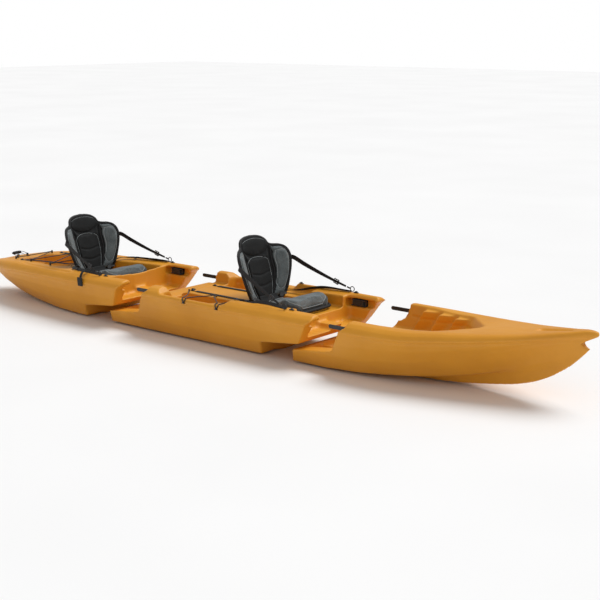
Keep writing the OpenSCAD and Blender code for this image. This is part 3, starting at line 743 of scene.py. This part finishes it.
def pad_shape(obj):
    """Dishes the pad behind, lifts its front and shapes the two thigh hollows."""
    where = points(obj)
    x, y, z = where.T
    top = np.clip((z - 0.236) / 0.040, 0, 1)
    slope = np.clip((x - 0.33) / 0.15, 0, 1)
    rise = 0.044 * slope * slope * (3 - 2 * slope) - 0.006 * np.exp(-((x - 0.34) / 0.07) ** 2)
    thighs = -0.008 * np.exp(-((np.abs(y) - 0.085) / 0.045) ** 2) * np.clip((x - 0.42) / 0.1, 0, 1)
    move_to(obj, np.stack([x, y, z + top * (rise + thighs)], axis=1))


def seat_pad():
    """One seat pad in place at the front seat."""
    def loop(half):
        line = smooth2(half)
        return line + [(a, -b) for a, b in reversed(line[1:-1])]
    rim, seam_loop = loop(PAD_RIM), loop(PAD_SEAM)
    body = puff(pad_slab("pad", inset(rim, 0.007), 0.240, 0.268), 0.011)
    pad_shape(body)
    seam(body, seam_loop + seam_loop[:1], 0.006, 0.006, (0, 1), (0, 0, 1))
    lines = {"pad_piping": (seam_loop, 0.0022, LIGHT_TRIM, "seat_fabric_grey", None, 0.0006),
             "pad_binding": (inset(rim, 0.002), 0.0085, BINDING, "seat_fabric_black", 0.250, 0.0)}
    tree = tree_of(body)
    made = {"pad": (body, GREY_CLOTH, "seat_fabric_grey", True)}
    for key, (loop_line, radius, cloth, slot, level, lift) in lines.items():
        line = [(*p, level if level else front_height([tree], p, 0.27, (0, 0, 1), (0, 1)) + lift)
                for p in loop_line[::2]]
        made[key] = (tube(key, line, radius, cloth, closed=True, sides=10), cloth, slot, False)
    # the border outside the seam is a darker cloth
    body.data.materials.clear()
    body.data.materials.append(GREY_CLOTH)
    body.data.materials.append(DIM_CLOTH)
    ring = np.array(seam_loop)
    for face in body.data.polygons:
        x, y, z = face.center
        face.material_index = 0 if inside(ring, x, y) and face.normal.z > 0 else 1
    return made


def inside(ring, x, y):
    a, b = ring, np.roll(ring, -1, axis=0)
    cross = (a[:, 1] > y) != (b[:, 1] > y)
    at = a[:, 0] + (y - a[:, 1]) / np.where(cross, b[:, 1] - a[:, 1], 1) * (b[:, 0] - a[:, 0])
    return bool(np.count_nonzero(cross & (x < at)) % 2)


BACK, PADS = seat_back(), seat_pad()


def install(made, seat, shift, body, node):
    """Puts one set of seat pieces on a body, as copies moved by shift."""
    for k, (key, (obj, cloth, slot, padded)) in enumerate(made.items()):
        copy = bpy.data.objects.new(f"{seat}_{key}", obj.data.copy())
        copy.data.transform(Matrix.Translation(shift))
        scene.collection.objects.link(copy)
        if key != "pad":
            copy.data.materials.clear()
            copy.data.materials.append(cloth)
        copy.data.polygons.foreach_set("use_smooth", [True] * len(copy.data.polygons))
        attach(copy, body)
        if k == 0:
            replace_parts(copy, node)


for seat, shift, section in (("front", Vector((0, 0, 0)), "mid_section"),
                             ("rear", REAR_SEAT, "stern_section")):
    install(BACK, seat, shift, f"{seat}_backrest", f"{seat}_seat_back")
    install(PADS, seat, shift, section, f"{seat}_seat_pad")
for obj, *_ in list(BACK.values()) + list(PADS.values()):
    bpy.data.objects.remove(obj)


# ---------------------------------------------------------------- straps, hooks and cords
def mirror_route(route, sign):
    return [(x, y * sign, z) for x, y, z in route]


def shifted(route, shift):
    return [tuple(Vector(p) + Vector(shift)) for p in route]


def seat_webbing(seat, base, sides_route, tail_route, section, nodes):
    """The webbing of one seat, in metres: the long straps, the side straps and the tails."""
    done = dict.fromkeys(nodes, False)

    def owner(obj, node):
        if not done[node]:
            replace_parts(obj, node)
            done[node] = True

    rear = seat == "rear"
    for side, sign in SIDES.items():
        top, end = base
        route = [(top[0] - 0.012, (top[1] - 0.016) * sign, top[2] + 0.004), (top[0], top[1] * sign, top[2])]
        for k in (0.2, 0.4, 0.6, 0.8, 1.0):
            sag = -0.006 * 4 * k * (1 - k)
            route.append(tuple(Vector(top).lerp(Vector(end), k)[i] * (sign if i == 1 else 1)
                               + (sag if i == 2 else 0) for i in range(3)))
        obj = strap(f"{seat}_strap_{side}", route, [0.028, 0.028, 0.027, 0.024, 0.020, 0.016, 0.012],
                    [(-0.17, sign, 0.1)] * len(route), thick=0.0026)
        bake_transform(obj)
        owner(obj, nodes[0])
        slide = Vector(top).lerp(Vector(end), 0.82)
        ahead = Vector((end[0] - top[0], (end[1] - top[1]) * sign, end[2] - top[2]))
        buckle(f"{seat}_strap_adjuster_{side}", (slide.x, slide.y * sign, slide.z - 0.003), ahead,
               (-0.17, sign, 0.1), 0.026, 0.030, section)
        tilts = [(0, 0, 1)] * (len(sides_route) - 3)
        tilts += [(0, 0.5 * sign, 0.8), (0, 0.75 * sign, 0.6), (0, 0.5 * sign, 0.8)]
        obj = strap(f"{seat}_side_strap_{side}", mirror_route(sides_route, sign), 0.022, tilts, section)
        owner(obj, nodes[1])
        obj = strap(f"{seat}_tail_{side}", mirror_route(tail_route, sign), 0.025,
                    [(0, 0, 1)] * len(tail_route), section)
        owner(obj, nodes[2])
    drop = REAR_SEAT if rear else Vector((0, 0, 0))
    skirt = [(0.286, 0, 0.262), (0.256, 0, 0.258), (0.234, 0, 0.262), (0.218, 0, 0.274), (0.208, 0, 0.292)]
    obj = strap(f"{seat}_seat_skirt", shifted(skirt, drop), 0.15,
                [(0, 0, 1), (0.2, 0, 1), (0.8, 0, 0.8), (1, 0, 0.3), (1, 0, 0.3)],
                thick=0.003, material=BLACK_CLOTH)
    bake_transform(obj)
    for side, sign in SIDES.items():
        spot = drop + Vector((0.214, 0.126 * sign, 0.284))
        buckle(f"{seat}_base_buckle_{side}", spot, (0.3, 0.9 * sign, 0.1), (0.5, 0, 1), 0.030, 0.038, section)
        turn = [(0.236, 0.090, 0.266), (0.222, 0.108, 0.282), (0.212, 0.130, 0.286), (0.200, 0.150, 0.276)]
        strap(f"{seat}_base_strap_{side}", shifted(mirror_route(turn, sign), drop), 0.022,
              [(0.5, 0, 1)] * len(turn), section)
    if rear:
        hang = [(-1.036, -0.276, 0.330), (-1.030, -0.304, 0.331), (-1.028, -0.334, 0.322),
                (-1.027, -0.352, 0.300), (-1.026, -0.359, 0.268)]
        strap("rear_gunwale_strap", hang, 0.020,
              [(0, -0.2, 1), (0, -0.3, 1), (0, -0.8, 0.7), (0, -1, 0.3), (0, -1, 0.1)], section)
        rounded_block("rear_gunwale_pad", (-1.026, -0.3625, 0.262), (0.042, 0.011, 0.056),
                      ((1, 0, 0), (0, 1, 0.1), (0, -0.1, 1)), 0.005, GRIP, section)


FRONT_SIDE = [(0.196, 0.132, 0.270), (0.156, 0.206, 0.268), (0.150, 0.236, 0.269), (0.243, 0.248, 0.284),
              (0.400, 0.266, 0.318), (0.596, 0.286, 0.318)]
REAR_SIDE = [(x - 1.5, y, z) for x, y, z in [
    (0.206, 0.136, 0.256), (0.224, 0.162, 0.300), (0.268, 0.236, 0.307), (0.500, 0.276, 0.312),
    (0.596, 0.286, 0.313)]]
FRONT_TAIL = [(0.186, 0.100, 0.268), (0.142, 0.100, 0.262), (-0.070, 0.098, 0.2615), (-0.278, 0.096, 0.261)]
REAR_TAIL = [(-1.312, 0.100, 0.250), (-1.346, 0.104, 0.288), (-1.444, 0.126, 0.292), (-1.808, 0.166, 0.281)]
seat_webbing("front", ((0.200, 0.238, 0.478), (0.548, 0.300, 0.338)), FRONT_SIDE, FRONT_TAIL, "mid_section",
             ("front_seat_straps", "front_side_straps", "front_seat_tails"))
seat_webbing("rear", ((-1.300, 0.238, 0.458), (-0.952, 0.300, 0.332)), REAR_SIDE, REAR_TAIL, "stern_section",
             ("rear_seat_straps", "rear_side_straps", "rear_seat_tails"))


def round_hook(x):
    """The side cord's route down into a hook under the gunwale and back."""
    down = [(0.016, -0.326, 0.282), (0.013, -0.345, 0.280), (0.009, -0.350, 0.268)]
    up = [(x + dx, y, z) for dx, y, z in reversed(down)]
    return [(x - dx, y, z) for dx, y, z in down] + [(x, -0.350, 0.258)] + up


SIDE_CORD = [(-0.306, -0.134, 0.266), (-0.240, -0.200, 0.271), *round_hook(-0.134), (-0.098, -0.190, 0.272),
             (-0.094, -0.128, 0.266), (-0.082, -0.128, 0.266), (-0.050, -0.180, 0.274),
             (0.060, -0.281, 0.281), *round_hook(0.126), (0.140, -0.250, 0.281),
             (0.136, -0.200, 0.274), (0.128, -0.134, 0.266)]
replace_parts(tube("side_cord", SIDE_CORD, CORD_R, SHEATH, "mid_section", step=0.004),
            "side_bungee")

TANK = [(-1.955, -0.122), (-1.930, 0.150), (-1.725, -0.176), (-1.700, 0.184), (-1.480, -0.214),
        (-1.455, 0.220)]


def deck_height(tree, x, y):
    return tree.ray_cast(Vector((x, y, 1)), Vector((0, 0, -1)))[0].z


def tank_cord():
    """The cord laced from side to side over the tank well, sagging a little between its hooks."""
    tree = tree_of(NODES["stern_hull"])
    high = [Vector((x, y, deck_height(tree, x, y) + 0.012)) for x, y in TANK]
    route = []
    for a, b in zip(high, high[1:]):
        for k in (0.0, 0.25, 0.5, 0.75):
            route.append(a.lerp(b, k) + Vector((0, 0, 0.0015 - 0.006 * k * (1 - k))))
    obj = tube("tank_cord", [*route, high[-1]], CORD_R, SHEATH, "stern_section", step=0.006)
    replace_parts(obj, "tank_bungee")


tank_cord()


# ---------------------------------------------------------------- carry handle
def carry_handle():
    pivot, grip = Vector((-2.052, 0, 0.264)), Vector((-2.114, 0, 0.270))
    lathe = []
    for k in range(41):
        t = k / 40
        swell = 0.0098 + 0.0012 * math.sin(math.pi * t) - 0.0007 * (0.5 + 0.5 * math.cos(math.tau * 9 * t))
        if k in (0, 40):
            swell = 0.0080
        lathe.append((grip.y - 0.031 + 0.062 * t, swell))
    ring = [(math.cos(a), math.sin(a)) for a in np.linspace(0, math.tau, 28, endpoint=False)]
    obj = sweep("carry_grip_moulding", [(grip.x, y, grip.z) for y, _ in lathe],
                [[(r * a, r * b) for a, b in ring] for _, r in lathe], [(0, 0, 1)] * len(lathe), GRIP,
                "carry_handle")
    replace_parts(obj, "carry_grip")
    for side, sign in SIDES.items():
        y = 0.034 * sign
        loop = []
        for k in range(40):
            a = math.tau * k / 40
            run = 0.5 - 0.5 * math.cos(a)
            loop.append((pivot.x + (grip.x - pivot.x) * run + 0.010 * math.cos(a),
                         y, pivot.z + (grip.z - pivot.z) * run + (0.0068 + 0.0012 * run) * math.sin(a)))
        ups = []
        centre = (pivot + grip) / 2
        for x, _, z in loop:
            ups.append((x - centre.x, 0, z - centre.z))
        section = [flat_section(0.006, 0.0016, 3)] * len(loop)
        arm = sweep(f"carry_arm_{side}", loop, section, ups, WEBBING, "carry_handle", closed=True)
        if sign > 0:
            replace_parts(arm, "carry_webbing")


carry_handle()

# ---------------------------------------------------------------- hard fittings keep their CAD shape
FINISH = {"pins": STEEL, "screws": STEEL, "carry_pin": STEEL, "drain_plug": PLUG}
for name, obj in NODES.items():
    if obj.hide_render:
        continue
    chosen = next((m for key, m in FINISH.items() if key in name), BLACK)
    obj.data.materials.clear()
    obj.data.materials.append(chosen)

studio()
